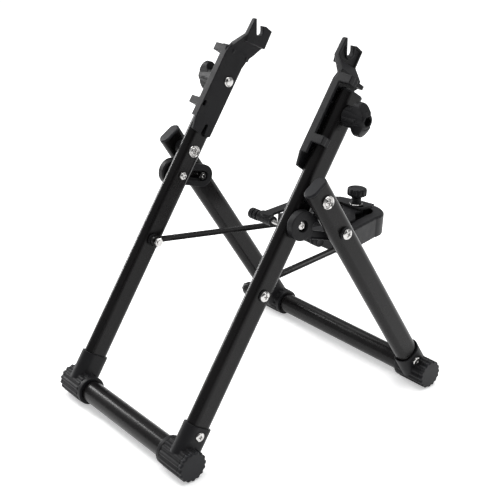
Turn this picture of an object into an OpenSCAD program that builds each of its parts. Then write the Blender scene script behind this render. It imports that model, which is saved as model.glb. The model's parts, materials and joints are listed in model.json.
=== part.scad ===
// Folding wheel truing stand.
// Two flat-oval uprights on a round front bar are crossed by two flat-oval
// rear legs on a round rear bar. Each upright carries a moulded dropout head
// held by a through bolt and a winged knob. Slotted links stop the legs when
// they open, and a hinged gauge arm with two calipers swings between the
// uprights. X is across the stand, +Y to the back, +Z up, the ground is Z = 0.

/* [Frame] */
// Distance from the front bar's axis to the rear bar's axis, open
foot_spread = 326; // [250:1:380]
// Distance from a bar's axis to the fold pivot, along the tube
pivot_dist = 298; // [240:1:340]
// Centre plane of each upright from the middle
upright_x = 98; // [80:0.5:120]
// Centre plane of each rear leg from the middle
leg_x = 123.5; // [100:0.5:140]
// Length of an upright above the front bar's axis
upright_top = 409; // [380:1:430]
// Length of a rear leg above the rear bar's axis
leg_top = 315; // [305:1:325]

/* [Tubes] */
// Wide side of the flat-oval tube
tube_w = 28.5; // [22:0.5:34]
// Thin side of the flat-oval tube
tube_t = 15.5; // [12:0.5:20]
// Wall of the flat-oval tube
tube_wall = 1.8; // [1.2:0.1:3]
// Radius of the round cross bars
bar_r = 12.5; // [10:0.5:16]
// Wall of the round cross bars
bar_wall = 1.6; // [1:0.1:3]

/* [Feet] */
// Outer radius of the ribbed foot barrel, over the ribs
foot_r = 17; // [15:0.5:22]
// Ribs round a foot barrel
foot_ribs = 16; // [8:1:24]
// Length of a foot barrel with its end cap
foot_len = 43; // [30:1:60]
// Outer end of the front feet from the middle
front_foot_x = 118; // [110:1:130]
// Outer end of the rear feet from the middle
rear_foot_x = 148; // [140:1:160]
// Height of the front sockets' mouth along the upright
front_mouth = 38.5; // [30:0.5:60]
// Lowest point of the rear sockets' dished mouth along the leg
rear_mouth = 30; // [26:0.5:40]
// Wall of the foot sockets round the tube
socket_wall = 2.4; // [1.5:0.1:4]

/* [Fold link] */
// Link bolt below the fold pivot, along the upright
link_bolt_s = 31.3; // [28:0.1:36]
// Limit bolt below the fold pivot, along the leg
limit_bolt_s = 47.5; // [40:0.1:55]
// Radius of the link's round boss
link_boss_r = 16; // [12:0.5:18]
// Radius of the link's slotted end
link_end_r = 13.5; // [10:0.5:16]
// Width of the link's slot
link_slot_w = 8.4; // [6:0.1:12]
// Thickness of the link
link_t = 8.6; // [5:0.1:9]

/* [Heads] */
// Through bolt of a head, along the upright
head_bolt_s = 387; // [370:1:400]
// Lower end of a head's plate, along the upright
head_low = 317; // [310:1:330]
// Upper end of a head's plate, along the upright
head_high = 426; // [415:1:435]
// Thickness of a head's plate
head_t = 4; // [3:0.2:6]
// Inner faces of the dropouts from the middle (half the hub width)
dropout_x = 69; // [50:0.5:75]
// Thickness of a dropout
dropout_t = 6; // [4:0.2:8]
// Width of the axle slot
axle_slot_w = 9.6; // [8:0.1:11]
// Height of the seated axle's centre
axle_z = 396.5; // [380:0.5:410]
// Place of the axle slot behind the fold pivot
axle_y = 81.5; // [70:0.5:95]

/* [Head knobs] */
// Reach of the knob's two wings
knob_r = 18; // [14:0.5:24]
// Ribs round the tapered hub
knob_ribs = 6; // [3:1:10]
// Length of the tapered hub
knob_hub_len = 27; // [18:1:32]

/* [Gauge arm] */
// Gauge arm pivot below the fold pivot, along the upright
brace_bolt_s = 112; // [100:1:130]
// Downward slope of the gauge arm at rest, in degrees
gauge_drop = 3.55; // [0:0.05:10]
// Centre plane of a brace at its pivot, from the middle
brace_x0 = 84.5; // [75:0.5:86]
// Length of a brace
brace_len = 184; // [150:1:220]
// Height of a brace's section
brace_h = 6; // [5:0.5:12]
// Thickness of a brace's section
brace_t = 5; // [4:0.2:9]
// Start of the gauge housing from the pivot
house_y0 = 162; // [150:1:180]
// Centre of the housing's round end from the pivot
house_y1 = 239.5; // [220:0.5:260]
// Radius of the housing's round end
house_r = 34.5; // [24:0.5:38]
// Half width of the housing's open end
house_w0 = 57; // [50:0.5:62]
// Top of the housing above the arm's plane
house_top = 20; // [15:0.5:26]
// Bottom of the housing below the arm's plane
house_bottom = -6; // [-10:0.5:0]
// Rim round the housing's pocket
house_rim = 14; // [6:0.5:16]

// Place of the clamping stud from the pivot
stud_y = 238.5; // [225:0.5:250]

/* [Calipers] */
// Distance of the caliper tips from the gauge arm's pivot
tip_y = 122; // [110:1:135]
// Height of the caliper tips above the arm's plane
tip_z = 20; // [15:0.5:26]
// Thickness of a caliper arm
arm_t = 3.4; // [3:0.2:6]
// Width of a caliper arm
arm_w = 16; // [10:0.5:22]
// Radius of a caliper's barrel
barrel_r = 6.2; // [4.5:0.1:7]
// Rest gap between a gauge tip and the middle
tip_gap = 6; // [2:0.5:15]

/* [Hidden] */
$fn = 48;
fold_a = asin(foot_spread / 2 / pivot_dist);   // tilt of the tubes from vertical
bar_z = foot_r;                                // the ribbed feet stand on the ground
pivot_z = bar_z + pivot_dist * cos(fold_a);
// the origin is under the middle of the whole stand, gauge arm included
reach_y = -foot_spread / 2 + (pivot_dist - brace_bolt_s) * sin(fold_a)
  + (house_y1 + house_r) * cos(gauge_drop) + (house_top - 1.5) * sin(gauge_drop);
pivot_y = -(reach_y - foot_spread / 2 - foot_r) / 2;
front_y = pivot_y - foot_spread / 2;
rear_y = pivot_y + foot_spread / 2;
up_in = upright_x - tube_t / 2;                // upright's inner face
up_out = upright_x + tube_t / 2;
leg_in = leg_x - tube_t / 2;
leg_out = leg_x + tube_t / 2;
gap_mid = (up_out + leg_in) / 2;               // middle of the gap between the tubes
link_s = pivot_dist - link_bolt_s;
limit_s = pivot_dist - limit_bolt_s;
brace_s = pivot_dist - brace_bolt_s;
front_bolt_s = 29.3;
rear_bolt_s = 19;
front_bolt_r = 2.5;
rear_bolt_r = 2.5;
barrel_in_f = front_foot_x - foot_len;         // inner end of a front foot
barrel_in_r = rear_foot_x - foot_len;
cap_t = 5;
fit = 0.1;                                     // seat between parts that do not move
run = 0.05;                                    // radial running fit
pivot_r = 4;
link_bolt_r = 3;
limit_r = 3;
brace_bolt_r = 3;
head_bolt_r = 3;
head_slot = 12;                                // travel the upright's slot gives the head
arm_lo = house_top + 0.3;                      // underside of the lower caliper
arm_hi = arm_lo + arm_t + 0.3;                 // underside of the upper caliper
stud_r = 3;
pocket_floor = 12;
brace_a = atan(0.212);                         // inward angle of the braces
brace_z = 1.5;                                 // rise of the bars above the pivot
rod_r = 2.4;
barrel_x0 = 20;                                // caliper barrel, from the middle
barrel_x1 = 45;
dial_x1 = 60;
link_p = [front_y + link_s * sin(fold_a), bar_z + link_s * cos(fold_a)];
limit_p = [rear_y - limit_s * sin(fold_a), bar_z + limit_s * cos(fold_a)];
link_len = norm(limit_p - link_p);
link_dir = atan2(limit_p[1] - link_p[1], limit_p[0] - link_p[0]);
slot_near = 17.5;                              // pin centre at the near end of the slot

black = [0.09, 0.09, 0.10];
plastic = [0.16, 0.16, 0.17];
chrome = [0.80, 0.80, 0.82];

// ---------- shared shapes ----------

// Flat-oval section, w along Y and t along X
module oval(w, t) {
  square([t, w - t], center = true);
  for (s = [-1, 1]) translate([0, s * (w - t) / 2]) circle(d = t);
}

// Flat-oval tube along Z from z0 to z1
module oval_tube(z0, z1) {
  translate([0, 0, z0]) linear_extrude(z1 - z0) difference() {
    oval(tube_w, tube_t);
    oval(tube_w - 2 * tube_wall, tube_t - 2 * tube_wall);
  }
}

// Cylinder along X between two places
module xcyl(x0, x1, r) {
  translate([x0, 0, 0]) rotate([0, 90, 0]) cylinder(h = x1 - x0, r = r);
}

// Cone along X between two places
module xcone(x0, x1, r0, r1) {
  translate([x0, 0, 0]) rotate([0, 90, 0]) cylinder(h = x1 - x0, r1 = r0, r2 = r1);
}

// Low domed bolt head along +X from x0, with a cross recess
module dome_head(x0, r, h) {
  difference() {
    translate([x0, 0, 0]) rotate([0, 90, 0]) rotate_extrude()
      intersection() {
        translate([0, h - (r * r + h * h) / (2 * h)]) circle(r = (r * r + h * h) / (2 * h), $fn = 96);
        square([r, h]);
      }
    for (a = [45, -45]) translate([x0 + h * 0.35, 0, 0]) rotate([a, 0, 0])
      translate([0, -r * 0.5, -r * 0.09]) cube([h, r, r * 0.18]);
  }
}

// Hexagon prism along +X
module xhex(x0, x1, across) {
  translate([x0, 0, 0]) rotate([0, 90, 0]) linear_extrude(x1 - x0)
    intersection_for (a = [0, 60, 120]) rotate(a) square([across, across * 2], center = true);
}

// Ribbed ring outline of the feet
module ribbed(r) {
  circle(r = r - 1.4);
  for (i = [0 : foot_ribs - 1]) rotate((i + 0.5) * 360 / foot_ribs)
    translate([r - 2.2, 0]) circle(r = 2.2);
}

// Round bar segment between two plan points
module seg(p, q, w) {
  d = q - p;
  translate(p) rotate(atan2(d[1], d[0])) {
    translate([0, -w / 2]) square([norm(d), w]);
    circle(d = w);
    translate([norm(d), 0]) circle(d = w);
  }
}

// Places a child in the right upright's frame: Z up the tube, Y to its back
module on_upright(s = 0) {
  translate([0, front_y, bar_z]) rotate([-fold_a, 0, 0]) translate([0, 0, s]) children();
}

// Places a child in the right leg's frame: Z up the tube, Y to its back
module on_leg(s = 0) {
  translate([0, rear_y, bar_z]) rotate([fold_a, 0, 0]) translate([0, 0, s]) children();
}

// Places a child in the gauge arm's frame: Y along the arm, Z above it
module on_gauge() {
  on_upright(brace_s) rotate([fold_a - gauge_drop, 0, 0]) children();
}

// Places a child in the fold link's frame: Y along the slot
module on_link() {
  translate([0, link_p[0], link_p[1]]) rotate([link_dir, 0, 0]) children();
}

module left() { mirror([1, 0, 0]) children(); }
module both() { children(); mirror([1, 0, 0]) children(); }

// ---------- front frame ----------

module front_bar() color(black) translate([0, front_y, bar_z]) difference() {
  xcyl(-front_foot_x + cap_t + 0.4, front_foot_x - cap_t - 0.4, bar_r);
  xcyl(-front_foot_x, front_foot_x, bar_r - bar_wall);
}

module upright() color(black) on_upright() difference() {
  translate([upright_x, 0, 0]) oval_tube(18, upright_top);
  translate([0, 0, pivot_dist]) xcyl(up_in - 1, up_out + 1, pivot_r + fit);
  translate([0, 0, link_s]) xcyl(up_in - 1, up_out + 1, link_bolt_r + fit);
  translate([0, 0, brace_s]) xcyl(up_in - 1, up_out + 1, brace_bolt_r + fit);
  translate([0, 0, front_bolt_s]) xcyl(upright_x, up_out + 1, front_bolt_r + fit);
  // slot the head's through bolt slides in
  translate([0, 0, head_bolt_s]) {
    r = head_bolt_r + 0.4;
    for (s = [-1, 1]) translate([0, 0, s * head_slot / 2]) xcyl(up_in - 1, up_out + 1, r);
    translate([up_in - 1, -r, -head_slot / 2]) cube([tube_t + 2, 2 * r, head_slot]);
  }
}
module upright_right() upright();
module upright_left() left() upright();

// Moulded plug in a tube's open end, flush with the tube's outside
module tube_plug(x, s) translate([x, 0, s]) {
  linear_extrude(2) oval(tube_w, tube_t);
  translate([0, 0, 2]) linear_extrude(1) oval(tube_w - 2, tube_t - 2);
  translate([0, 0, -12]) linear_extrude(12)
    oval(tube_w - 2 * tube_wall - 2 * fit, tube_t - 2 * tube_wall - 2 * fit);
}

module upright_plugs() color(plastic) both() on_upright() tube_plug(upright_x, upright_top);

// Foot casting: ribbed barrel round the bar, smooth collar, socket for the tube
module foot(x_mid, x_in, x_out, mouth, dished, bolt_s, bolt_r, tube_s0) {
  difference() {
    union() {
      xcyl(x_in, x_in + 5, foot_r - 0.6);
      xcyl(x_in + 5, x_out - cap_t, foot_r - 1.4);
      translate([x_in + 6, 0, 0]) rotate([0, 90, 0]) linear_extrude(x_out - cap_t - x_in - 6) ribbed(foot_r);
      translate([x_mid, 0, 4]) linear_extrude(mouth + (dished ? 6.5 : 0) - 4)
        oval(tube_w + 2 * socket_wall, tube_t + 2 * socket_wall);
    }
    xcyl(x_in - 1, x_out + 1, bar_r + fit);
    translate([x_mid, 0, tube_s0 - 0.2]) linear_extrude(60) oval(tube_w + 2 * fit, tube_t + 2 * fit);
    if (dished) translate([0, 0, mouth + 26]) xcyl(x_mid - 20, x_mid + 20, 26);
    translate([0, 0, bolt_s]) xcyl(x_mid, x_mid + 30, bolt_r + fit);
    // flat seat for the bolt head
    translate([0, 0, bolt_s]) xcyl(x_mid + tube_t / 2 + socket_wall - 0.4, x_mid + 16, 5.4);
  }
}

module front_foot() color(plastic) translate([0, 0, 0]) on_upright()
  foot(upright_x, barrel_in_f, front_foot_x, front_mouth, false, front_bolt_s, front_bolt_r, 18);
module front_foot_right() front_foot();
module front_foot_left() left() front_foot();

// Scalloped end cap with a plug in the bar
module foot_cap(x_out) {
  translate([x_out - cap_t + 0.1, 0, 0]) rotate([0, 90, 0]) linear_extrude(cap_t - 1.1) ribbed(foot_r);
  translate([x_out - 1, 0, 0]) rotate([0, 90, 0]) linear_extrude(1) ribbed(foot_r - 0.9);
  xcyl(x_out - 20, x_out - cap_t + 1, bar_r - bar_wall - fit);
}
module front_foot_caps() color(plastic) both() on_upright() foot_cap(front_foot_x);

// Screw with a low domed head seated at x, shank pointing inwards
module foot_screw(x, r, len) {
  dome_head(x, 5, 2.2);
  xcyl(x - len, x + 0.4, r);
}
module front_foot_bolts() color(chrome) both() on_upright(front_bolt_s)
  foot_screw(up_out + socket_wall - 0.35, front_bolt_r, 8);

// Fold pivot: shaft through upright and leg with a wide cap at each end
module pivot_bolts() color(chrome) both() on_upright(pivot_dist) {
  xcyl(up_in - 1.2, leg_out + 0.9, pivot_r);
  dome_head(leg_out + 0.4, 7.3, 3.4);
  translate([2 * up_in - 0.1, 0, 0]) mirror([1, 0, 0]) dome_head(up_in, 7.3, 3.0);
}

module pivot_spacers() color(plastic) both() on_upright(pivot_dist) difference() {
  xcyl(up_out + 0.1, leg_in - 0.35, 8.5);
  xcyl(up_out - 1, leg_in + 1, pivot_r + fit);
}

// Link bolt: recessed head in the link's boss, domed nut inside the upright
module link_bolts() color(chrome) both() on_upright(link_s) {
  xcyl(up_in - 1, up_out + 6.2, link_bolt_r);
  dome_head(up_out + 6, 5, 2.6);
  translate([2 * up_in - 0.1, 0, 0]) mirror([1, 0, 0]) dome_head(up_in, 5.2, 3.6);
}

// Gauge arm pivot bolt: domed head outside, hexagon nut inside the brace
module brace_bolts() color(chrome) both() on_upright(brace_s) {
  xcyl(brace_x0 - 8.6, up_out + 1.7, brace_bolt_r);
  dome_head(up_out + 1.6, 5.6, 3);
  xhex(brace_x0 - 7.5, brace_x0 - 4.2, 10);
}
module brace_spacers() color(plastic) both() on_upright(brace_s) {
  difference() {
    xcyl(brace_x0 + brace_t / 2 + 0.3, up_in - 0.1, 7);
    xcyl(70, up_in + 1, brace_bolt_r + fit);
  }
  difference() {
    xcyl(up_out + 0.1, up_out + 1.55, 6.6);
    xcyl(up_out - 1, up_out + 3, brace_bolt_r + fit);
  }
}

// ---------- rear frame ----------

module rear_bar() color(black) translate([0, rear_y, bar_z]) difference() {
  xcyl(-rear_foot_x + cap_t + 0.4, rear_foot_x - cap_t - 0.4, bar_r);
  xcyl(-rear_foot_x, rear_foot_x, bar_r - bar_wall);
}

module leg() color(black) on_leg() difference() {
  translate([leg_x, 0, 0]) oval_tube(14.5, leg_top);
  translate([0, 0, pivot_dist]) xcyl(leg_in - 1, leg_out + 1, pivot_r + run);
  translate([0, 0, limit_s]) xcyl(leg_in - 1, leg_out + 1, limit_r + fit);
  translate([0, 0, rear_bolt_s]) xcyl(leg_x, leg_out + 1, rear_bolt_r + fit);
}
module leg_right() leg();
module leg_left() left() leg();
module leg_caps() color(plastic) both() on_leg() tube_plug(leg_x, leg_top);

module rear_foot() color(plastic) on_leg()
  foot(leg_x, barrel_in_r, rear_foot_x, rear_mouth, true, rear_bolt_s, rear_bolt_r, 14.5);
module rear_foot_right() rear_foot();
module rear_foot_left() left() rear_foot();
module rear_foot_caps() color(plastic) both() on_leg() foot_cap(rear_foot_x);
module rear_foot_bolts() color(chrome) both() on_leg(rear_bolt_s)
  foot_screw(leg_out + socket_wall - 0.35, rear_bolt_r, 8);

// Limit bolt: head on the leg's outside, shank across the leg only
module limit_bolts() color(chrome) both() on_leg(limit_s) {
  dome_head(leg_out + 3.5, 5.8, 3);
  xcyl(leg_in + 0.2, leg_out + 3.7, limit_r);
}
module limit_washers() color(plastic) both() on_leg(limit_s) difference() {
  union() {
    xcyl(leg_out + 0.1, leg_out + 2, 7);
    xcone(leg_out + 2, leg_out + 3.4, 7, 6.2);
  }
  xcyl(leg_out - 1, leg_out + 5, limit_r + fit);
}

// ---------- fold links ----------

module link() color(plastic) on_link() difference() {
  union() {
    translate([gap_mid - link_t / 2, 0, 0]) {
      xcyl(0, link_t, link_boss_r - 1);
      xcyl(1.2, link_t + 0.4, link_boss_r);
      translate([0, link_len, 0]) xcyl(0, link_t - 1.5, link_end_r);
      translate([0, 0, -link_end_r]) cube([link_t - 1.5, link_len, 2 * link_end_r]);
    }
  }
  xcyl(up_out - 1, leg_in, link_bolt_r + run);
  // recess of the bolt head
  xcyl(up_out + 5.6, leg_in + 1, 6.2);
  // through slot of the limit pin
  translate([0, slot_near, 0]) xcyl(up_out - 1, leg_in + 1, link_slot_w / 2);
  translate([0, link_len, 0]) xcyl(up_out - 1, leg_in + 1, link_slot_w / 2);
  translate([up_out - 1, slot_near, -link_slot_w / 2]) cube([20, link_len - slot_near, link_slot_w]);
  // wider track of the nut on the inner side
  translate([0, slot_near, 0]) xcyl(up_out - 1, up_out + 4.2, link_slot_w / 2 + 2.2);
  translate([0, link_len, 0]) xcyl(up_out - 1, up_out + 4.2, link_slot_w / 2 + 2.2);
  translate([up_out - 1, slot_near, -link_slot_w / 2 - 2.2])
    cube([5.2, link_len - slot_near, link_slot_w + 4.4]);
}
module link_right() link();
module link_left() left() link();

// Nut and sleeve of the limit bolt, riding in the link's slot
module link_nut() color(chrome) on_link() translate([0, link_len, 0]) {
  xhex(up_out + 0.7, up_out + 3.8, 9);
  xcyl(up_out + 3.8, leg_in - 0.35, limit_r);
  xcyl(up_out + 0.35, up_out + 0.8, 2.4);
}
module link_nut_right() link_nut();
module link_nut_left() left() link_nut();

// ---------- gauge arm ----------

module brace() color(black) on_gauge() difference() {
  union() {
    translate([brace_x0, 0, 0]) rotate([0, 0, brace_a]) translate([-brace_t / 2, 4.5, brace_z - brace_h / 2])
      cube([brace_t, brace_len - 4.5, brace_h]);
    // eye round the pivot bolt
    xcyl(brace_x0 - 3.7, brace_x0 + brace_t / 2 + 0.1, 7);
  }
  xcyl(60, 100, brace_bolt_r + run);
  // lengthwise groove in the outer and the inner side
  translate([brace_x0, 0, 0]) rotate([0, 0, brace_a]) for (s = [-1, 1])
    translate([s * brace_t / 2 - 0.7, 18, brace_z - 1.2]) cube([1.4, brace_len - 44, 2.4]);
}
module brace_right() brace();
module brace_left() left() brace();

// Plan outline of the housing, grown inwards by d
module house_plan(d) {
  difference() {
    union() {
      translate([0, house_y1]) circle(r = house_r - d);
      polygon([[-house_w0 + d, house_y0], [-house_r + d, house_y1], [house_r - d, house_y1],
        [house_w0 - d, house_y0]]);
    }
  }
}

module gauge_housing() color(plastic) on_gauge() difference() {
  union() {
    translate([0, 0, house_bottom]) linear_extrude(house_top - house_bottom - 1.5) house_plan(0);
    translate([0, 0, house_top - 1.5]) linear_extrude(1.5) house_plan(1.5);
  }
  // opening for the wheel's rim
  translate([-15, house_y0 - 1, house_bottom - 1]) cube([30, 34, 40]);
  translate([0, house_y0 + 33, house_bottom - 1]) cylinder(h = 40, r = 15);
  // lower nose of both prongs
  for (s = [-1, 1]) translate([s * 40 - 30, house_y0 - 1, 13]) cube([60, 16, 10]);
  // pocket inside the rim
  translate([0, 0, pocket_floor]) linear_extrude(40) difference() {
    house_plan(house_rim);
    translate([-80, 100]) square([160, 95]);
    translate([0, house_y0 + 33]) circle(r = 19);
    // rib and boss the calipers rest on
    translate([-5, house_y0 + 33]) square([10, 80]);
    translate([0, stud_y]) circle(r = 9);
  }
  // sockets of the braces
  for (s = [-1, 1]) scale([s, 1, 1]) translate([brace_x0, 0, 0]) rotate([0, 0, brace_a])
    translate([-brace_t / 2 - fit, 120, brace_z - brace_h / 2 - fit])
      cube([brace_t + 2 * fit, brace_len - 120 + 0.3, brace_h + 2 * fit]);
  translate([0, stud_y, -20]) cylinder(h = 60, r = stud_r + fit);
}

// Upright stud the two calipers are clamped on
module gauge_stud() color(chrome) on_gauge() translate([0, stud_y, 0]) {
  translate([0, 0, house_bottom]) cylinder(h = arm_hi + arm_t + 14 - house_bottom, r = stud_r);
  translate([0, 0, house_bottom - 2.5]) cylinder(h = 2.4, r = 5.5);
  translate([0, 0, house_bottom - 0.2]) cylinder(h = 0.2, r = stud_r);
}
module gauge_washer() color(chrome) on_gauge() translate([0, stud_y, arm_hi + arm_t + 0.15]) difference() {
  cylinder(h = 1.2, r = 8.4);
  translate([0, 0, -1]) cylinder(h = 4, r = stud_r + fit);
}

// Fluted knob on the stud
module gauge_knob() color(plastic) on_gauge() translate([0, stud_y, arm_hi + arm_t + 1.5]) difference() {
  union() {
    cylinder(h = 4, r1 = 7, r2 = 6);
    translate([0, 0, 4]) cylinder(h = 4, r = 6);
    translate([0, 0, 8]) cylinder(h = 2.4, r1 = 6.2, r2 = 11.4);
    translate([0, 0, 10.4]) linear_extrude(8.2) {
      circle(r = 11.2);
      for (i = [0 : 11]) rotate(i * 30) translate([10.3, 0]) circle(r = 2);
    }
    translate([0, 0, 18.6]) cylinder(h = 1.2, r1 = 11.4, r2 = 10);
  }
  translate([0, 0, -1]) cylinder(h = 14.5, r = stud_r + run);
  translate([0, 0, 19]) cylinder(h = 3, r = 8);
}

// Slot the stud clamps through: it lets a caliper slide 2 mm in and 8 mm out
module stud_slot() {
  translate([-8.3, stud_y - stud_r - 0.3]) square([10.6, 2 * stud_r + 0.6]);
  for (x = [-8.3, 2.3]) translate([x, stud_y]) circle(r = stud_r + 0.3);
}

// Upper caliper's plan: clamped plate with a tail behind the stud, side arm, tip
module wide_plan() difference() {
  union() {
    polygon([[47, 206], [39, 236], [33, 245], [6, 256], [-12, 259], [-15, 252], [-15, 231],
      [18, 230], [33, 206]]);
    seg([40.5, 206], [45.5, 178], arm_w - 3);
    seg([45.5, 178], [33, tip_y], arm_w - 3);
  }
  stud_slot();
}

// Lower caliper's plan: plate on the rib, arm beside the wheel's opening, tip
module narrow_plan() difference() {
  union() {
    polygon([[-15, 231], [-15, 246], [6, 247], [14, 236], [14, 222], [2, 215], [-6, 222]]);
    seg([7, 221], [25, 203], arm_w - 3);
    seg([25, 203], [34, 168], arm_w - 3);
    seg([34, 168], [33, tip_y], arm_w - 3);
  }
  stud_slot();
}

// Barrel round the gauge rod, joined to its arm
module caliper_barrel(top) {
  translate([0, tip_y, tip_z]) xcyl(barrel_x0, barrel_x1, barrel_r);
  translate([barrel_x0 + 4, tip_y - 4.5, tip_z]) cube([barrel_x1 - barrel_x0 - 6, 9, top - tip_z]);
}
module rod_bore() translate([0, tip_y, tip_z]) xcyl(barrel_x0 - 1, barrel_x1 + 1, rod_r + run);

module caliper_left() color(plastic) left() on_gauge() difference() {
  union() {
    translate([0, 0, arm_hi]) linear_extrude(arm_t) wide_plan();
    caliper_barrel(arm_hi + arm_t);
  }
  rod_bore();
}
module caliper_right() color(plastic) on_gauge() difference() {
  union() {
    translate([0, 0, arm_lo]) linear_extrude(arm_t) narrow_plan();
    caliper_barrel(arm_lo + arm_t);
  }
  rod_bore();
}

// Threaded gauge rod
module rod() color(chrome) on_gauge() translate([0, tip_y, tip_z]) {
  xcyl(tip_gap + 2, dial_x1 - 5.5, rod_r);
  xcone(tip_gap, tip_gap + 2, 1.4, rod_r);
}
module gauge_rod_right() rod();
module gauge_rod_left() left() rod();

// Knurled dial that turns the rod
module dial() color(plastic) on_gauge() translate([0, tip_y, tip_z]) difference() {
  union() {
    xcyl(barrel_x1 + 0.3, barrel_x1 + 1.8, 5.4);
    translate([barrel_x1 + 1.8, 0, 0]) rotate([0, 90, 0]) linear_extrude(5) dial_ring();
    xcyl(barrel_x1 + 6.8, barrel_x1 + 8, 5.4);
    translate([barrel_x1 + 8, 0, 0]) rotate([0, 90, 0]) linear_extrude(dial_x1 - barrel_x1 - 9) dial_ring();
    xcone(dial_x1 - 1, dial_x1, 6.4, 5.6);
  }
  xcyl(barrel_x1 - 1, dial_x1 - 1.5, rod_r + run);
}
module dial_ring() {
  circle(r = 6.4);
  for (i = [0 : 17]) rotate(i * 20) translate([6.3, 0]) circle(r = 0.5, $fn = 16);
}
module gauge_dial_right() dial();
module gauge_dial_left() left() dial();

// ---------- heads ----------

// Head outline on the upright's inner face, Y to the back, Z up the tube
module head_plan() polygon([[-18, head_low + 3], [-5.5, head_low + 2], [-5.5, head_low + 3],
  [-4, head_low + 15], [-0.5, head_low + 15], [0.5, head_low + 4], [5, head_low + 1],
  [10, head_low + 4], [10, 408],
  [14, head_high], [-19, head_high], [-22, 416], [-22, head_low + 18]]);

// Dropout outline in the vertical plane, Y from the fold pivot and Z from the ground
module dropout_plan() difference() {
  polygon([[64.9, axle_z + 1.4], [axle_y - 7.2, axle_z + 15], [axle_y - 4.8, axle_z + 15.6],
    [axle_y + 3.5, axle_z + 6.5], [axle_y + 7.2, axle_z + 5], [axle_y + 9.6, axle_z + 4.6],
    [axle_y + 18.2, axle_z - 2], [axle_y + 7, axle_z - 21], [62, axle_z - 8]]);
  translate([axle_y, axle_z]) circle(d = axle_slot_w);
  translate([axle_y - axle_slot_w / 2, axle_z]) square([axle_slot_w, 30]);
}

module head() color(plastic) {
  // plate with its front flange, top wall and wrapping fingers
  on_upright() difference() {
    union() {
      translate([up_in - 0.35 - head_t, 0, 0]) rotate([90, 0, 90]) linear_extrude(head_t) head_plan();
      translate([up_in - 1, -22, head_low + 18]) cube([6.5, 3, 398 - head_low]);
      for (s = [347.5, 414]) {
        translate([up_in - 1, -22, s]) cube([tube_t + 5, 6, 9]);
        translate([up_out + 0.8, -22, s]) cube([2.8, 12, 9]);
      }
      translate([up_in - 1, -21, 419.5]) cube([9, 34, 4.5]);
      translate([up_in + 4, -8, 423.5]) cylinder(h = 1.2, r = 2.6);
    }
    translate([0, 0, head_bolt_s]) xcyl(up_in - 20, up_out + 20, head_bolt_r + fit);
    translate([up_in - 20, -20.8, 349]) cube([30, 3.6, 6.4]);
  }
  neck();
  translate([dropout_x, pivot_y, 0]) rotate([90, 0, 90]) linear_extrude(dropout_t) dropout_plan();
}

// Sloping web from the plate's top edge up to the dropout's bottom edge
module neck() on_upright() {
  x0 = up_in - 0.35 - head_t;
  intersection() {
    translate([0, 30, 0]) rotate([90, 0, 0]) linear_extrude(60)
      polygon([[x0, head_high - 8], [x0, head_high - 4], [dropout_x, 441], [dropout_x, 446],
        [dropout_x + dropout_t, 446], [dropout_x + dropout_t, 442], [x0 + head_t, head_high + 2],
        [x0 + head_t, head_high - 8]]);
    translate([dropout_x - 1, 0, 0]) rotate([90, 0, 90]) linear_extrude(40)
      polygon([[-19, head_high - 8], [14, head_high - 8], [14, 428], [12.5, 441], [12.5, 446],
        [-17.5, 446]]);
  }
}
module head_right() head();
module head_left() left() head();

// Carriage bolt of the head
module head_bolt() color(chrome) on_upright(head_bolt_s) {
  xcyl(up_in - head_t - 1, up_out + 22, head_bolt_r);
  difference() {
    translate([2 * (up_in - head_t - 0.45), 0, 0]) mirror([1, 0, 0]) translate([up_in - head_t - 0.45, 0, 0])
      rotate([0, 90, 0]) rotate_extrude() intersection() {
        translate([0, 3 - (36 + 9) / 6]) circle(r = (36 + 9) / 6, $fn = 96);
        square([6.2, 3]);
      }
  }
}
module head_bolt_right() head_bolt();
module head_bolt_left() left() head_bolt();

// Winged knob: ribbed tapering hub, two rounded wings, hexagon recess outside
module head_knob() color(plastic) on_upright(head_bolt_s) rotate([fold_a, 0, 0]) {
  k0 = up_out + 0.9;
  k1 = k0 + knob_hub_len;
  difference() {
    union() {
      xcone(k0, k1, 10.5, 7.6);
      xcone(k1 - 0.1, k1 + 1, 6.9, 6.3);
      for (i = [0 : knob_ribs - 1]) rotate([(i + 0.5) * 360 / knob_ribs, 0, 0])
        translate([k0 + 1, -1.4, 5]) cube([knob_hub_len - 9, 2.8, 6]);
      // wings swept back from the outer end
      intersection() {
        translate([k1 - 17, 0, 0]) rotate([0, 90, 0]) linear_extrude(16) wing_plan();
        union() {
          xcone(k1 - 17, k1 - 13, knob_r - 7, knob_r + 1);
          xcyl(k1 - 13.1, k1 - 8, knob_r + 1);
          xcone(k1 - 8.1, k1 - 1, knob_r + 1, knob_r - 8);
        }
      }
    }
    xcyl(k0 - 1, k0 + 22, head_bolt_r + run);
    xhex(k0 + 21, k0 + 40, 9);
  }
}
// Wings along X of the sketch, rounded at both ends
module wing_plan() {
  translate([-knob_r + 6.5, -6.5]) square([2 * knob_r - 13, 13]);
  for (m = [-1, 1]) translate([m * (knob_r - 6.5), 0]) circle(r = 6.5);
}
module head_knob_right() head_knob();
module head_knob_left() left() head_knob();

front_bar();
upright_left();
upright_right();
upright_plugs();
front_foot_left();
front_foot_right();
front_foot_caps();
front_foot_bolts();
pivot_bolts();
pivot_spacers();
link_bolts();
brace_bolts();
brace_spacers();
rear_bar();
leg_left();
leg_right();
leg_caps();
rear_foot_left();
rear_foot_right();
rear_foot_caps();
rear_foot_bolts();
limit_bolts();
limit_washers();
link_left();
link_right();
link_nut_left();
link_nut_right();
brace_left();
brace_right();
gauge_housing();
gauge_stud();
gauge_washer();
gauge_knob();
caliper_left();
caliper_right();
gauge_rod_left();
gauge_rod_right();
gauge_dial_left();
gauge_dial_right();
head_left();
head_right();
head_bolt_left();
head_bolt_right();
head_knob_left();
head_knob_right();
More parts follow.
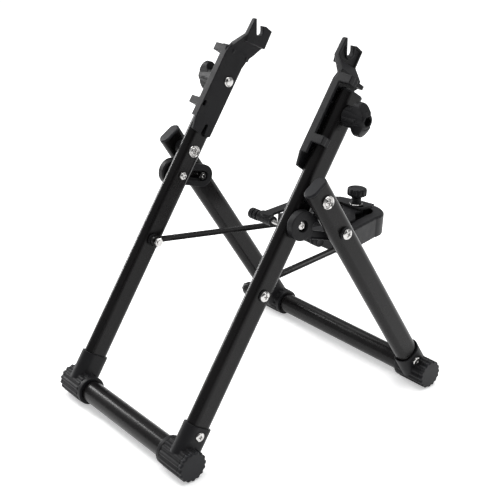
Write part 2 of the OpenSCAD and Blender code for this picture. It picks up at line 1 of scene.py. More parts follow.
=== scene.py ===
"""Looks of the folding wheel truing stand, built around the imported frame.

Lengths are millimetres until a piece is placed; Blender's metres come from MM.
The tubes and bars keep their CAD nodes. Moulded pieces start from the CAD
solid, gain small details and are remeshed so that their edges are rounded.
Bolts, rods, dials and knobs are built here as turned and threaded meshes.
"""

import json
import math

import bmesh
import bpy
from mathutils import Matrix, Vector


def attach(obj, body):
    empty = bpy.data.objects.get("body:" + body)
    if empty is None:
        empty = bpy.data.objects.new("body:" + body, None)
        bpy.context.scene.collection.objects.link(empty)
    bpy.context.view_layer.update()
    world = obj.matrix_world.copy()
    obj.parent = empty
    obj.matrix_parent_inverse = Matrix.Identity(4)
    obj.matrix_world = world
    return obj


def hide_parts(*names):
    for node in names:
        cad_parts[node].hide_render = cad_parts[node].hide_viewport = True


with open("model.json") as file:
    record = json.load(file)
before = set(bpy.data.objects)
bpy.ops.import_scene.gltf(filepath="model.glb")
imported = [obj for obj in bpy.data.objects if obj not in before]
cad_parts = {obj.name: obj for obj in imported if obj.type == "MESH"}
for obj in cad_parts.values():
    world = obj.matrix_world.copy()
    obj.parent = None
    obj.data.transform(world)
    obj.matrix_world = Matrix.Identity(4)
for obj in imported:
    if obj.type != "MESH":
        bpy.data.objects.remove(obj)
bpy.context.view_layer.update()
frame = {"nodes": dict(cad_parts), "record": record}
NODES = frame["nodes"]
BODY_OF = {
    node: body
    for body, members in frame["record"]["behaviour"]["bodies"].items()
    for node in members
}

# ---------------------------------------------------------------- sizes
FOOT_SPREAD, PIVOT_DIST = 326.0, 298.0
UPRIGHT_X, LEG_X = 98.0, 123.5
TUBE_T = 15.5
FOOT_R = 17.0
LINK_BOLT_S, LIMIT_BOLT_S, BRACE_BOLT_S = 31.3, 47.5, 112.0
LINK_T, LINK_STEP = 8.6, 1.5
HEAD_BOLT_S, HEAD_T = 387.0, 4.0
DROPOUT_X, DROPOUT_T, AXLE_Y, AXLE_Z = 69.0, 6.0, 81.5, 396.5
GAUGE_DROP, BRACE_X0 = 3.55, 84.5
HOUSE_Y1, HOUSE_R, HOUSE_TOP, HOUSE_BOTTOM, HOUSE_STEP = 239.5, 34.5, 20.0, -6.0, 1.5
STUD_Y, ARM_T, TIP_Y, TIP_Z = 238.5, 3.4, 122.0, 20.0
BARREL_X1, DIAL_X1, TIP_GAP = 45.0, 60.0, 6.0
SOCKET_WALL = 2.4
GAP = 0.3  # between a sliding part and what it slides on
FRONT_BOLT_S, REAR_BOLT_S = 29.3, 19.0

FOLD = math.degrees(math.asin(FOOT_SPREAD / 2 / PIVOT_DIST))
COS_DROP, SIN_DROP = (f(math.radians(GAUGE_DROP)) for f in (math.cos, math.sin))
BACK_Y = (
    -FOOT_SPREAD / 2
    + (PIVOT_DIST - BRACE_BOLT_S) * math.sin(math.radians(FOLD))
    + (HOUSE_Y1 + HOUSE_R) * COS_DROP
    + (HOUSE_TOP - HOUSE_STEP) * SIN_DROP
)
PIVOT_Y = -(BACK_Y - FOOT_SPREAD / 2 - FOOT_R) / 2
FRONT_Y, REAR_Y = PIVOT_Y - FOOT_SPREAD / 2, PIVOT_Y + FOOT_SPREAD / 2
UP_IN, UP_OUT = UPRIGHT_X - TUBE_T / 2, UPRIGHT_X + TUBE_T / 2
LEG_IN, LEG_OUT = LEG_X - TUBE_T / 2, LEG_X + TUBE_T / 2
ARM_LO = HOUSE_TOP + GAP
ARM_HI = ARM_LO + ARM_T + GAP

# ---------------------------------------------------------------- frames
MM = Matrix.Scale(0.001, 4)
FLIP = Matrix.Scale(-1, 4, (1, 0, 0))
SIDES = (("right", Matrix.Identity(4)), ("left", FLIP))


def move(x=0.0, y=0.0, z=0.0):
    return Matrix.Translation((x, y, z))


def turn(degrees, axis):
    return Matrix.Rotation(math.radians(degrees), 4, axis)


UPRIGHT = move(0, FRONT_Y, FOOT_R) @ turn(-FOLD, "X")
LEG = move(0, REAR_Y, FOOT_R) @ turn(FOLD, "X")
GAUGE = UPRIGHT @ move(z=PIVOT_DIST - BRACE_BOLT_S) @ turn(FOLD - GAUGE_DROP, "X")
link_from = UPRIGHT @ Vector((0, 0, PIVOT_DIST - LINK_BOLT_S))
link_to = LEG @ Vector((0, 0, PIVOT_DIST - LIMIT_BOLT_S))
LINK_LEN = (link_to - link_from).length
LINK_DIR = math.degrees(math.atan2(link_to.z - link_from.z, link_to.y - link_from.y))
LINK = move(0, link_from.y, link_from.z) @ turn(LINK_DIR, "X")
UPWARDS = turn(-90, "Y")  # a lathe's own axis, +X, turned to +Z


# ---------------------------------------------------------------- materials
def new_material(name):
    mat = bpy.data.materials.new(name)
    mat.use_nodes = True
    return mat, mat.node_tree.nodes, mat.node_tree.links


def noise(nodes, links, coords, scale, detail=3.0, roughness=0.5):
    tex = nodes.new("ShaderNodeTexNoise")
    tex.inputs["Scale"].default_value = scale
    tex.inputs["Detail"].default_value = detail
    tex.inputs["Roughness"].default_value = roughness
    links.new(coords.outputs["Object"], tex.inputs["Vector"])
    return tex


def remap(nodes, links, source, low, high, to_low, to_high):
    ramp = nodes.new("ShaderNodeMapRange")
    for key, value in zip(
        ("From Min", "From Max", "To Min", "To Max"), (low, high, to_low, to_high)
    ):
        ramp.inputs[key].default_value = value
    links.new(source, ramp.inputs["Value"])
    return ramp.outputs["Result"]


def mix_colour(nodes, links, factor, colour_a, colour_b):
    mix = nodes.new("ShaderNodeMix")
    mix.data_type = "RGBA"
    mix.inputs["A"].default_value = (*colour_a, 1)
    mix.inputs["B"].default_value = (*colour_b, 1)
    links.new(factor, mix.inputs["Factor"])
    return mix.outputs["Result"]


def bump(nodes, links, height, distance, strength, below=None):
    node = nodes.new("ShaderNodeBump")
    node.inputs["Distance"].default_value = distance
    node.inputs["Strength"].default_value = strength
    links.new(height, node.inputs["Height"])
    if below is not None:
        links.new(below, node.inputs["Normal"])
    return node.outputs["Normal"]


def surface(
    name,
    dark,
    light,
    tint_scale,
    rough,
    bumps,
    metallic=0.0,
    specular=0.5,
    coat=0.0,
    painted_edge_highlight=None,
):
    """Principled surface with uneven colour, uneven gloss and layered bumps.
    bumps is a list of (noise scale per metre, distance in metres, strength).
    The optional edge colour is a painted highlight: convex edges, found by pointiness, are coloured
    lighter."""
    mat, nodes, links = new_material(name)
    shader = nodes["Principled BSDF"]
    coords = nodes.new("ShaderNodeTexCoord")
    tint = noise(nodes, links, coords, tint_scale, 4.0, 0.6)
    colour = mix_colour(
        nodes, links, remap(nodes, links, tint.outputs["Fac"], 0.3, 0.7, 0, 1), dark, light
    )
    # Painted highlight: convex edges, found by pointiness, are mixed towards a lighter colour as if
    # they caught the light.
    if painted_edge_highlight is not None:
        highlight_geometry = nodes.new("ShaderNodeNewGeometry")
        edge = remap(nodes, links, highlight_geometry.outputs["Pointiness"], 0.53, 0.62, 0, 1)
        mix = nodes.new("ShaderNodeMix")
        mix.data_type = "RGBA"
        mix.inputs["B"].default_value = (*painted_edge_highlight, 1)
        links.new(edge, mix.inputs["Factor"])
        links.new(colour, mix.inputs["A"])
        colour = mix.outputs["Result"]
    links.new(colour, shader.inputs["Base Color"])
    gloss = noise(nodes, links, coords, tint_scale * 2.3, 3.0, 0.5)
    links.new(
        remap(nodes, links, gloss.outputs["Fac"], 0.25, 0.75, rough[0], rough[1]),
        shader.inputs["Roughness"],
    )
    normal = None
    for scale, distance, strength in bumps:
        grain = noise(nodes, links, coords, scale, 2.0, 0.5)
        normal = bump(nodes, links, grain.outputs["Fac"], distance, strength, normal)
    links.new(normal, shader.inputs["Normal"])
    shader.inputs["Metallic"].default_value = metallic
    shader.inputs["Specular IOR Level"].default_value = specular
    shader.inputs["Coat Weight"].default_value = coat
    shader.inputs["Coat Roughness"].default_value = 0.18
    return mat


COAT = surface(
    "powder_coat",
    (0.0046, 0.0042, 0.0044),
    (0.0066, 0.0060, 0.0062),
    22,
    (0.24, 0.31),
    [(750, 0.0004, 0.10), (2600, 0.0001, 0.12)],
    specular=0.17,
    coat=0.03,
)
PLASTIC = surface(
    "moulded_black",
    (0.0066, 0.0065, 0.0074),
    (0.0090, 0.0089, 0.0100),
    45,
    (0.42, 0.52),
    [(1500, 0.0002, 0.16), (5200, 0.0001, 0.18)],
    specular=0.17,
    # painted highlight: lighter colour on convex edges
    painted_edge_highlight=(0.018, 0.018, 0.020),
)
GLOSSY = surface(
    "moulded_cap",
    (0.0085, 0.0087, 0.0104),
    (0.0112, 0.0115, 0.0135),
    60,
    (0.36, 0.46),
    [(1300, 0.0002, 0.12), (4200, 0.0001, 0.12)],
    specular=0.20,
    # painted highlight: lighter colour on convex edges
    painted_edge_highlight=(0.020, 0.020, 0.023),
)
CHROME = surface(
    "bright_metal",
    (0.50, 0.49, 0.48),
    (0.64, 0.63, 0.62),
    160,
    (0.05, 0.13),
    [(420, 0.0003, 0.06), (5200, 0.00004, 0.10)],
    metallic=1.0,
)


# ---------------------------------------------------------------- mesh making
def ring(bm, points, matrix):
    return [bm.verts.new(matrix @ Vector(p)) for p in points]


def bridge(bm, a, b):
    for i in range(len(a)):
        j = (i + 1) % len(a)
        bm.faces.new((a[i], a[j], b[j], b[i]))


def add_lathe(bm, profile, matrix, segments=48, shape=None):
    """Turned solid along +X. profile lists (x, radius); shape(angle, x) scales a radius."""
    rings = []
    for x, r in profile:
        points = []
        for i in range(segments):
            angle = 2 * math.pi * i / segments
            k = r * (shape(angle, x) if shape else 1)
            points.append((x, k * math.cos(angle), k * math.sin(angle)))
        rings.append(ring(bm, points, matrix))
    for a, b in zip(rings, rings[1:]):
        bridge(bm, a, b)
    bm.faces.new(rings[0][::-1])
    bm.faces.new(rings[-1])


def add_prism(bm, outline, x0, x1, matrix):
    """Prism along +X over an outline of (y, z) points."""
    a = ring(bm, [(x0, y, z) for y, z in outline], matrix)
    b = ring(bm, [(x1, y, z) for y, z in outline], matrix)
    bridge(bm, a, b)
    bm.faces.new(a[::-1])
    bm.faces.new(b)


def add_box(bm, low, high, matrix):
    (x0, y0, z0), (x1, y1, z1) = low, high
    add_prism(bm, [(y0, z0), (y1, z0), (y1, z1), (y0, z1)], x0, x1, matrix)


def add_taper(bm, x0, half0, x1, half1, matrix):
    """Four-sided taper along +X from half sizes half0 at x0 to half1 at x1."""
    corners = ((-1, -1), (1, -1), (1, 1), (-1, 1))
    a = ring(bm, [(x0, half0[0] * s, half0[1] * t) for s, t in corners], matrix)
    b = ring(bm, [(x1, half1[0] * s, half1[1] * t) for s, t in corners], matrix)
    bridge(bm, a, b)
    bm.faces.new(a[::-1])
    bm.faces.new(b)


def add_nut(bm, x0, x1, across, matrix):
    """Hexagon with chamfered corners along +X."""
    corner = across / math.sqrt(3)
    chamfer = 0.07 * across
    levels = ((x0, 0.9), (x0 + chamfer, 1.0), (x1 - chamfer, 1.0), (x1, 0.9))
    rings = []
    for x, k in levels:
        points = [
            (x, k * corner * math.cos(math.radians(a)), k * corner * math.sin(math.radians(a)))
            for a in range(30, 390, 60)
        ]
        rings.append(ring(bm, points, matrix))
    for a, b in zip(rings, rings[1:]):
        bridge(bm, a, b)
    bm.faces.new(rings[0][::-1])
    bm.faces.new(rings[-1])


def add_thread(bm, x0, x1, radius, pitch, depth, matrix, segments=28):
    """Threaded rod along +X, one start, rounded crests."""
    steps = int(round((x1 - x0) / pitch * 7))
    rings = []
    for j in range(steps + 1):
        x = x0 + (x1 - x0) * j / steps
        ease = min(1.0, (x - x0) / pitch, (x1 - x) / pitch)
        points = []
        for i in range(segments):
            angle = 2 * math.pi * i / segments
            phase = (x - x0) / pitch - i / segments
            dip = (0.5 - 0.5 * math.cos(2 * math.pi * phase)) ** 0.8
            r = radius - depth * dip * ease
            points.append((x, r * math.cos(angle), r * math.sin(angle)))
        rings.append(ring(bm, points, matrix))
    for a, b in zip(rings, rings[1:]):
        bridge(bm, a, b)
    bm.faces.new(rings[0][::-1])
    bm.faces.new(rings[-1])


def to_object(name, bm, matrix=MM):
    bm.transform(matrix)
    bmesh.ops.recalc_face_normals(bm, faces=bm.faces)
    mesh = bpy.data.meshes.new(name)
    bm.to_mesh(mesh)
    bm.free()
    obj = bpy.data.objects.new(name, mesh)
    bpy.context.scene.collection.objects.link(obj)
    return obj


def bake_modifiers(obj):
    """Replaces an object's mesh by what its modifiers make of it."""
    bpy.context.view_layer.update()
    graph = bpy.context.evaluated_depsgraph_get()
    mesh = bpy.data.meshes.new_from_object(obj.evaluated_get(graph))
    obj.modifiers.clear()
    obj.data = mesh


def cut(obj, cutter):
    """Takes the cutter's volume out of obj and removes the cutter."""
    mod = obj.modifiers.new("cut", "BOOLEAN")
    mod.operation = "DIFFERENCE"
    mod.solver = "EXACT"
    mod.use_self = True
    mod.object = cutter
    bake_modifiers(obj)
    bpy.data.objects.remove(cutter)


def finish_piece(obj, material, nodes, smooth_angle=35):
    """Shades the piece, gives it its material and body, and hides the CAD nodes it stands for."""
    mesh = obj.data
    mesh.materials.clear()
    mesh.materials.append(material)
    mesh.shade_smooth()
    mesh.set_sharp_from_angle(angle=math.radians(smooth_angle))
    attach(obj, BODY_OF[nodes[0]])
    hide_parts(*nodes)
    return obj


def cad_copy(name, node):
    """Closed mesh of a CAD node, in metres."""
    bm = bmesh.new()
    bm.from_mesh(NODES[node].data)
    bmesh.ops.remove_doubles(bm, verts=bm.verts, dist=2e-6)
    return to_object(name, bm, Matrix.Identity(4))


def moulded(node, material=PLASTIC, voxel=0.45, rounds=5, faces=26000, add=None, take=None):
    """CAD solid with added and removed details, rounded like a moulding.
    add(bm) and take(bm) build details in millimetres, voxel is the remesh size."""
    obj = cad_copy(node + "_look", node)
    if take is not None:
        bm = bmesh.new()
        take(bm)
        cut(obj, to_object("cutter", bm))
    if add is not None:
        bm = bmesh.new()
        add(bm)
        extra = to_object("extra", bm)
        bm = bmesh.new()
        bm.from_mesh(obj.data)
        bm.from_mesh(extra.data)
        bm.to_mesh(obj.data)
        bm.free()
        bpy.data.objects.remove(extra)
    grid = obj.modifiers.new("grid", "REMESH")
    grid.mode = "VOXEL"
    grid.voxel_size = voxel / 1000
    round_off = obj.modifiers.new("round", "SMOOTH")
    round_off.factor = 0.5
    round_off.iterations = rounds
    bake_modifiers(obj)
    count = len(obj.data.polygons) * 2
    if count > faces:
        thin = obj.modifiers.new("thin", "DECIMATE")
        thin.ratio = faces / count
        bake_modifiers(obj)
    return finish_piece(obj, material, [node], smooth_angle=60)


# ---------------------------------------------------------------- camera
CAMERA_AT = Vector((0.793925, -0.672578, 0.607256))
YAW, PITCH, ROLL = 0.8734, 0.3996, 0.002
FOCAL_PX, IMAGE_PX, SENSOR = 993.9104, 500, 36.0

look = Vector(
    (-math.sin(YAW) * math.cos(PITCH), math.cos(YAW) * math.cos(PITCH), -math.sin(PITCH))
)
level = Vector((math.cos(YAW), math.sin(YAW), 0))
above = level.cross(look)
right = math.cos(ROLL) * level + math.sin(ROLL) * above
upward = math.cos(ROLL) * above - math.sin(ROLL) * level
lens = bpy.data.cameras.new("camera")
lens.sensor_width = SENSOR
lens.lens = FOCAL_PX * SENSOR / IMAGE_PX
lens.clip_end = 50
camera = bpy.data.objects.new("camera", lens)
camera.matrix_world = Matrix.Translation(CAMERA_AT) @ Matrix(
    (
        (right.x, upward.x, -look.x),
        (right.y, upward.y, -look.y),
        (right.z, upward.z, -look.z),
    )
).to_4x4()
bpy.context.scene.collection.objects.link(camera)
bpy.context.scene.camera = camera

# ---------------------------------------------------------------- tubes and bars
for node in ("front_bar", "rear_bar", "upright_left", "upright_right", "leg_left", "leg_right"):
    mesh = NODES[node].data
    mesh.materials.clear()
    mesh.materials.append(COAT)


# ---------------------------------------------------------------- heads
def head_ribs(flip):
    """Ribs behind a head's front flange, a parting rib on it and gussets under the neck."""

    def build(bm):
        m = flip @ UPRIGHT
        for s in (362.0, 377.0, 392.0, 405.0):
            add_box(bm, (UP_IN - 1, -20, s), (UP_IN + 4.4, -15.2, s + 1.5), m)
        # parting rib along the flange
        add_box(bm, (UP_IN + 4.6, -21.4, 340), (UP_IN + 5.6, -19.6, 411), m)
        # gussets under the sloping neck
        for y in (-13.5, 8.5):
            outline = [(y, 418), (y + 2.2, 418), (y + 2.2, 430), (y, 430)]
            add_prism(bm, outline, UP_IN - 5, UP_IN - 2.5, m)

    return build


def dropout_pocket(flip):
    """Shallow pocket that leaves a raised rim round the outer face of a dropout."""
    # from the front prong, round the axle's seat, to the rear prong and back below
    outline = [
        (-13.7, 0.7), (-8.5, 8.3), (-7.5, 8.3), (-7.3, -0.5), (-5.9, -4.9),
        (-2.5, -7.3), (2.5, -7.3), (5.9, -4.9), (7.3, -0.5), (7.3, 2.5),
        (9.1, 1.9), (15.1, -2.7), (5.9, -17.5), (-15.9, -6.9),
    ]

    def build(bm):
        m = flip @ move(0, PIVOT_Y + AXLE_Y, AXLE_Z)
        add_prism(bm, outline, DROPOUT_X + DROPOUT_T - 1.8, DROPOUT_X + DROPOUT_T + 4, m)

    return build


for side, flip in SIDES:
    moulded(
        "head_" + side, voxel=0.5, rounds=4, faces=42000,
        add=head_ribs(flip), take=dropout_pocket(flip),
    )
    moulded("head_knob_" + side, voxel=0.4, rounds=5, faces=24000)


# ---------------------------------------------------------------- links, feet, caps
def link_details(flip):
    """Raised rim beside the link's slot and round its end."""

    def build(bm):
        gap_mid = (UP_OUT + LEG_IN) / 2
        face = gap_mid + LINK_T / 2 - LINK_STEP
        m = flip @ LINK
        r0, r1 = 11.6, 13.2
        for z in (-1, 1):
            add_box(bm, (face - 0.5, 17, z * 12.4 - 0.8), (face + 0.9, LINK_LEN, z * 12.4 + 0.8), m)
        arc = [math.radians(a) for a in range(-90, 91, 6)]
        outer = [(LINK_LEN + r1 * math.cos(a), r1 * math.sin(a)) for a in arc]
        inner = [(LINK_LEN + r0 * math.cos(a), r0 * math.sin(a)) for a in reversed(arc)]
        add_prism(bm, outer + inner, face - 0.5, face + 0.9, m)

    return build


for side, flip in SIDES:
    moulded("link_" + side, voxel=0.42, rounds=4, faces=26000, add=link_details(flip))
    moulded("front_foot_" + side, voxel=0.5, rounds=3, faces=40000)
    moulded("rear_foot_" + side, voxel=0.5, rounds=3, faces=40000)
    moulded("brace_" + side, material=COAT, voxel=0.4, rounds=3, faces=16000)
    moulded("caliper_" + side, voxel=0.42, rounds=4, faces=24000)
moulded("front_foot_caps", material=GLOSSY, voxel=0.5, rounds=3, faces=26000)
moulded("rear_foot_caps", material=GLOSSY, voxel=0.5, rounds=3, faces=26000)
moulded("upright_plugs", material=GLOSSY, voxel=0.4, rounds=5, faces=20000)
moulded("leg_caps", material=GLOSSY, voxel=0.4, rounds=5, faces=20000)
moulded("pivot_spacers", voxel=0.4, rounds=3, faces=12000)
moulded("brace_spacers", voxel=0.4, rounds=3, faces=12000)
moulded("limit_washers", voxel=0.3, rounds=4, faces=12000)
moulded("gauge_housing", voxel=0.55, rounds=5, faces=48000)


# ---------------------------------------------------------------- bolts
CROSS = (20, 110)  # degrees at which the two arms of a Phillips recess lie
CROSS_MIDDLE = sum(CROSS) / 2
BOLT_R, PITCH, GROOVE = 2.9, 1.0, 0.45  # bolts and studs of the 6 mm size


def add_head(bm, cutters, x, r, h, matrix):
    """Domed bolt head on +X at x, with a Phillips recess added to cutters."""
    profile = [(x, r * 0.96), (x + 0.25, r), (x + 0.7, r), (x + 0.95, r - 0.25)]
    base = profile[-1][0]
    top = x + h
    for i in range(1, 10):
        a = math.radians(90 * i / 9)
        profile.append((base + (top - base) * math.sin(a), max(r * math.cos(a), 0.02) - 0.01))
    profile[-1] = (top, 0.05)
    add_lathe(bm, profile, matrix, 56)
    reach = r * 0.6
    for angle in CROSS:
        m = matrix @ turn(angle, "X")
        add_taper(cutters, top - h * 0.72, (reach * 0.5, r * 0.07), top + 0.6, (reach, r * 0.15), m)
    tip, mouth = r * 0.1, r * 0.3
    m = matrix @ turn(CROSS_MIDDLE, "X")
    add_taper(cutters, top - h * 0.82, (tip, tip), top + 0.6, (mouth, mouth), m)


def dome(x, r, h, steps):
    """Profile of a plain dome of radius r and height h on x."""
    angles = [math.radians(90 * i / steps) for i in range(1, steps + 1)]
    return [(x + h * math.sin(a), max(r * math.cos(a), 0.05)) for a in angles]


def shank(bm, x0, x1, r, matrix):
    add_lathe(bm, [(x0, r - 0.3), (x0 + 0.3, r), (x1 - 0.3, r), (x1, r - 0.3)], matrix, 32)


def bolts(node, build, sides=SIDES):
    """Bright piece standing for a CAD node: build(bm, cutters, matrix) makes one side."""
    bm, cutters = bmesh.new(), bmesh.new()
    for _, flip in sides:
        build(bm, cutters, flip)
    obj = to_object(node + "_look", bm)
    if len(cutters.verts):
        cut(obj, to_object("cutter", cutters))
    else:
        cutters.free()
    return finish_piece(obj, CHROME, [node], smooth_angle=32)


def inward(matrix, x):
    """Frame whose +X points to the middle of the stand from x."""
    return matrix @ move(x) @ turn(180, "Z")


def pivot_cap(bm, cutters, matrix):
    """Wide cap at x = 0: raised lip, a groove inside it and a low dome with a cross."""
    profile = [
        (0, 7.0), (0.25, 7.3), (1.2, 7.3), (1.9, 6.9), (2.1, 6.5), (1.95, 6.1), (1.2, 5.6),
        (0.5, 5.2), (0.45, 4.8), (1.2, 4.4), (2.0, 3.6), (2.5, 2.4), (2.75, 1.0), (2.8, 0.05),
    ]
    add_lathe(bm, profile, matrix, 64)
    for angle in CROSS:
        m = matrix @ turn(angle, "X")
        add_taper(cutters, 0.7, (2.4, 0.45), 3.4, (3.9, 0.95), m)
    add_taper(cutters, 0.5, (0.9, 0.9), 3.4, (1.9, 1.9), matrix @ turn(CROSS_MIDDLE, "X"))


def pivot_bolt(bm, cutters, flip):
    m = flip @ UPRIGHT @ move(z=PIVOT_DIST)
    shank(bm, UP_IN - 0.5, LEG_OUT + 0.7, 3.9, m)
    pivot_cap(bm, cutters, m @ move(LEG_OUT + 0.4))
    pivot_cap(bm, cutters, inward(m, UP_IN - 0.1))


def link_bolt(bm, cutters, flip):
    m = flip @ UPRIGHT @ move(z=PIVOT_DIST - LINK_BOLT_S)
    shank(bm, UP_IN - 0.5, UP_OUT + 6.4, BOLT_R, m)
    add_head(bm, cutters, UP_OUT + 6, 5, 2.5, m)
    nut = inward(m, UP_IN - 0.1)
    add_nut(bm, 0, 2.4, 9.0, nut)
    add_lathe(bm, [(2.0, 4.0), (2.4, 4.0)] + dome(2.4, 4.0, 1.2, 8), nut, 40)


def brace_bolt(bm, cutters, flip):
    m = flip @ UPRIGHT @ move(z=PIVOT_DIST - BRACE_BOLT_S)
    add_thread(bm, BRACE_X0 - 8.6, BRACE_X0 - 4.0, BOLT_R, PITCH, GROOVE, m)
    shank(bm, BRACE_X0 - 4.4, UP_OUT + 1.9, BOLT_R, m)
    add_nut(bm, BRACE_X0 - 7.5, BRACE_X0 - 4.2, 10, m)
    add_head(bm, cutters, UP_OUT + 1.6, 5.6, 2.9, m)


def limit_bolt(bm, cutters, flip):
    m = flip @ LEG @ move(z=PIVOT_DIST - LIMIT_BOLT_S)
    shank(bm, LEG_IN + 0.2, LEG_OUT + 3.8, BOLT_R, m)
    add_head(bm, cutters, LEG_OUT + 3.5, 5.8, 2.9, m)


def front_screw(bm, cutters, flip):
    m = flip @ UPRIGHT @ move(z=FRONT_BOLT_S)
    x = UP_OUT + SOCKET_WALL - 0.35
    shank(bm, x - 8, x + 0.6, 2.4, m)
    add_head(bm, cutters, x, 5, 2.2, m)


def rear_screw(bm, cutters, flip):
    m = flip @ LEG @ move(z=REAR_BOLT_S)
    x = LEG_OUT + SOCKET_WALL - 0.35
    shank(bm, x - 8, x + 0.6, 2.4, m)
    add_head(bm, cutters, x, 5, 2.2, m)


for node, build in (
    ("pivot_bolts", pivot_bolt),
    ("link_bolts", link_bolt),
    ("brace_bolts", brace_bolt),
    ("limit_bolts", limit_bolt),
    ("front_foot_bolts", front_screw),
    ("rear_foot_bolts", rear_screw),
):
    bolts(node, build)


def limit_nut(bm, cutters, flip):
    m = flip @ LINK @ move(0, LINK_LEN, 0)
    add_nut(bm, UP_OUT + 0.7, UP_OUT + 3.8, 9, m)
    shank(bm, UP_OUT + 3.6, LEG_IN - 0.4, BOLT_R, m)
    shank(bm, UP_OUT + 0.35, UP_OUT + 0.95, 2.3, m)


def carriage_bolt(bm, cutters, flip):
    m = flip @ UPRIGHT @ move(z=HEAD_BOLT_S)
    x = UP_IN - HEAD_T - 0.45
    shank(bm, x - 0.3, UP_OUT + 1.4, BOLT_R, m)
    add_thread(bm, UP_OUT + 1, UP_OUT + 21.9, BOLT_R, PITCH, GROOVE, m)
    add_lathe(bm, [(0, 6.0), (0.35, 6.2)] + dome(0.35, 6.2, 2.6, 12), inward(m, x), 64)


def gauge_rod(bm, cutters, flip):
    m = flip @ GAUGE @ move(0, TIP_Y, TIP_Z)
    add_thread(bm, TIP_GAP + 3, DIAL_X1 - 5.5, 2.4, 0.8, 0.42, m)
    profile = [(TIP_GAP, 0.6), (TIP_GAP + 0.25, 1.2), (TIP_GAP + 1.8, 2.0), (TIP_GAP + 3.2, 2.0)]
    add_lathe(bm, profile, m, 28)


for side, flip in SIDES:
    one = ((side, flip),)
    bolts("link_nut_" + side, limit_nut, one)
    bolts("head_bolt_" + side, carriage_bolt, one)
    bolts("gauge_rod_" + side, gauge_rod, one)


def gauge_stud(bm, cutters, flip):
    m = GAUGE @ move(0, STUD_Y, 0) @ UPWARDS
    top = ARM_HI + ARM_T + 14
    shank(bm, HOUSE_BOTTOM - 0.2, ARM_HI, BOLT_R, m)
    add_thread(bm, ARM_HI - 0.5, top, BOLT_R, PITCH, GROOVE, m)
    add_nut(bm, HOUSE_BOTTOM - 2.5, HOUSE_BOTTOM - 0.1, 10, m)


def gauge_washer(bm, cutters, flip):
    m = GAUGE @ move(0, STUD_Y, ARM_HI + ARM_T + 0.15) @ UPWARDS
    add_lathe(bm, [(0, 8.1), (0.2, 8.4), (0.9, 8.4), (1.2, 8.1)], m, 56)
    add_lathe(cutters, [(-1, 3.1), (2.5, 3.1)], m, 40)


bolts("gauge_stud", gauge_stud, SIDES[:1])
bolts("gauge_washer", gauge_washer, SIDES[:1])


# ---------------------------------------------------------------- knobs and dials
def flutes(angle, x):
    """Rounded flutes of the gauge knob, fading out on its stem and its top."""
    fade = min(max((x - 8.0) / 3.0, 0.0), 1.0) * min(max((19.9 - x) / 1.6, 0.0), 1.0)
    return 1 - 0.085 * fade * (0.5 - 0.5 * math.cos(12 * angle)) ** 2


bm = bmesh.new()
knob_profile = [
    (0, 3.2), (0, 6.6), (0.5, 7.0), (2.0, 6.7), (4.0, 6.1), (5.6, 5.95), (7.2, 6.0),
    (8.2, 6.5), (9.0, 8.0), (9.8, 10.2), (10.4, 11.5), (11.4, 12.0), (13.0, 12.2),
    (15.5, 12.25), (17.6, 12.2), (18.5, 11.8), (19.3, 10.9), (19.75, 9.8), (19.8, 9.0),
    (19.55, 8.2), (19.1, 7.6), (18.9, 6.0), (18.9, 2.0), (18.9, 0.2),
]
add_lathe(bm, knob_profile, GAUGE @ move(0, STUD_Y, ARM_HI + ARM_T + 1.5) @ UPWARDS, 192, flutes)
finish_piece(to_object("gauge_knob_look", bm), PLASTIC, ["gauge_knob"], smooth_angle=50)


KNURLED = ((BARREL_X1 + 2.0, BARREL_X1 + 6.6), (BARREL_X1 + 8.4, DIAL_X1 - 1.2))


def knurl(angle, x):
    """Fine axial ridges of a dial between its grooves."""
    on = 1.0 if any(a < x < b for a, b in KNURLED) else 0.0
    return 1 - 0.05 * on * (0.5 - 0.5 * math.cos(40 * angle))


for side, flip in SIDES:
    bm = bmesh.new()
    x, r = BARREL_X1, 6.7
    profile = [
        (x + 0.3, 5.0), (x + 0.5, 5.4), (x + 1.6, 5.4), (x + 1.9, r - 0.1), (x + 2.1, r),
        (x + 6.5, r), (x + 6.7, r - 0.1), (x + 6.9, 5.4), (x + 7.9, 5.4), (x + 8.2, r - 0.1),
        (x + 8.5, r), (DIAL_X1 - 1.3, r), (DIAL_X1 - 0.9, r - 0.15), (DIAL_X1 - 0.2, 5.9),
        (DIAL_X1, 5.4), (DIAL_X1 - 0.5, 4.6), (DIAL_X1 - 0.6, 0.2),
    ]
    add_lathe(bm, profile, flip @ GAUGE @ move(0, TIP_Y, TIP_Z), 160, knurl)
    dial = to_object("gauge_dial_" + side + "_look", bm)
    finish_piece(dial, PLASTIC, ["gauge_dial_" + side], smooth_angle=40)


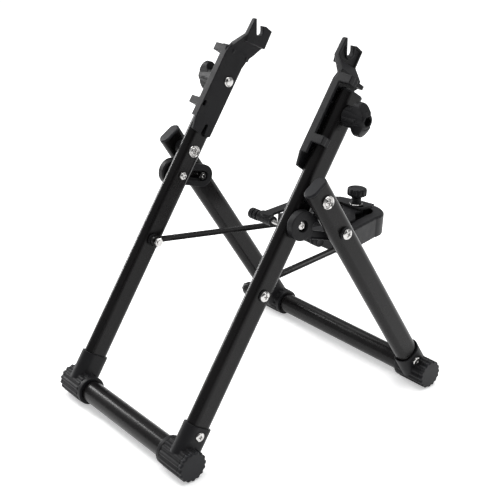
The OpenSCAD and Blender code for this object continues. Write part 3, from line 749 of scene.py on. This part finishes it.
# ---------------------------------------------------------------- floor and light
def flat_material(name, colour, rough, glow):
    """Even studio surface: glow is the light that it gives off itself."""
    mat, nodes, links = new_material(name)
    shader = nodes["Principled BSDF"]
    coords = nodes.new("ShaderNodeTexCoord")
    tone = noise(nodes, links, coords, 6, 2.0, 0.5)
    lighter = tuple(min(1.0, c * 1.015) for c in colour)
    shade = mix_colour(nodes, links, tone.outputs["Fac"], colour, lighter)
    links.new(shade, shader.inputs["Base Color"])
    shader.inputs["Roughness"].default_value = rough
    shader.inputs["Specular IOR Level"].default_value = 0.15
    shader.inputs["Emission Color"].default_value = (1, 1, 1, 1)
    shader.inputs["Emission Strength"].default_value = glow
    return mat


bm = bmesh.new()
half = 7.0
corners = ((-half, -half, 0), (half, -half, 0), (half, half, 0), (-half, half, 0))
bm.faces.new([bm.verts.new(c) for c in corners])
floor = to_object("floor", bm, Matrix.Identity(4))
floor.data.materials.append(flat_material("pale_floor", (0.86, 0.86, 0.86), 0.9, 0.42))


def softbox(name, at, aim, size, watts):
    data = bpy.data.lights.new(name, "AREA")
    data.shape = "RECTANGLE"
    data.size, data.size_y = size
    data.energy = watts
    lamp = bpy.data.objects.new(name, data)
    lamp.location = at
    lamp.rotation_euler = (Vector(aim) - Vector(at)).to_track_quat("-Z", "Y").to_euler()
    bpy.context.scene.collection.objects.link(lamp)


# dark card beside the camera, for the bright parts to reflect
bm = bmesh.new()
corners = ((2.4, -1.9, 0.35), (2.4, 0.9, 0.35), (2.4, 0.9, 1.5), (2.4, -1.9, 1.5))
bm.faces.new([bm.verts.new(c) for c in corners])
card = to_object("dark_card", bm, Matrix.Identity(4))
card.data.materials.append(flat_material("dark_card", (0.02, 0.02, 0.02), 0.8, 0.0))

MIDDLE = (0, 0, 0.2)
softbox("top_light", (-0.2, 0.5, 3.0), MIDDLE, (3.6, 3.6), 105)
softbox("left_light", (-1.95, -0.5, 0.95), MIDDLE, (0.3, 1.7), 38)
softbox("right_light", (1.9, 0.9, 1.0), MIDDLE, (0.5, 1.4), 3)

world = bpy.data.worlds.new("studio")
world.use_nodes = True
world.node_tree.nodes["Background"].inputs["Color"].default_value = (0.98, 0.99, 1.0, 1)
world.node_tree.nodes["Background"].inputs["Strength"].default_value = 0.38
bpy.context.scene.world = world
bpy.context.scene.view_settings.view_transform = "Standard"
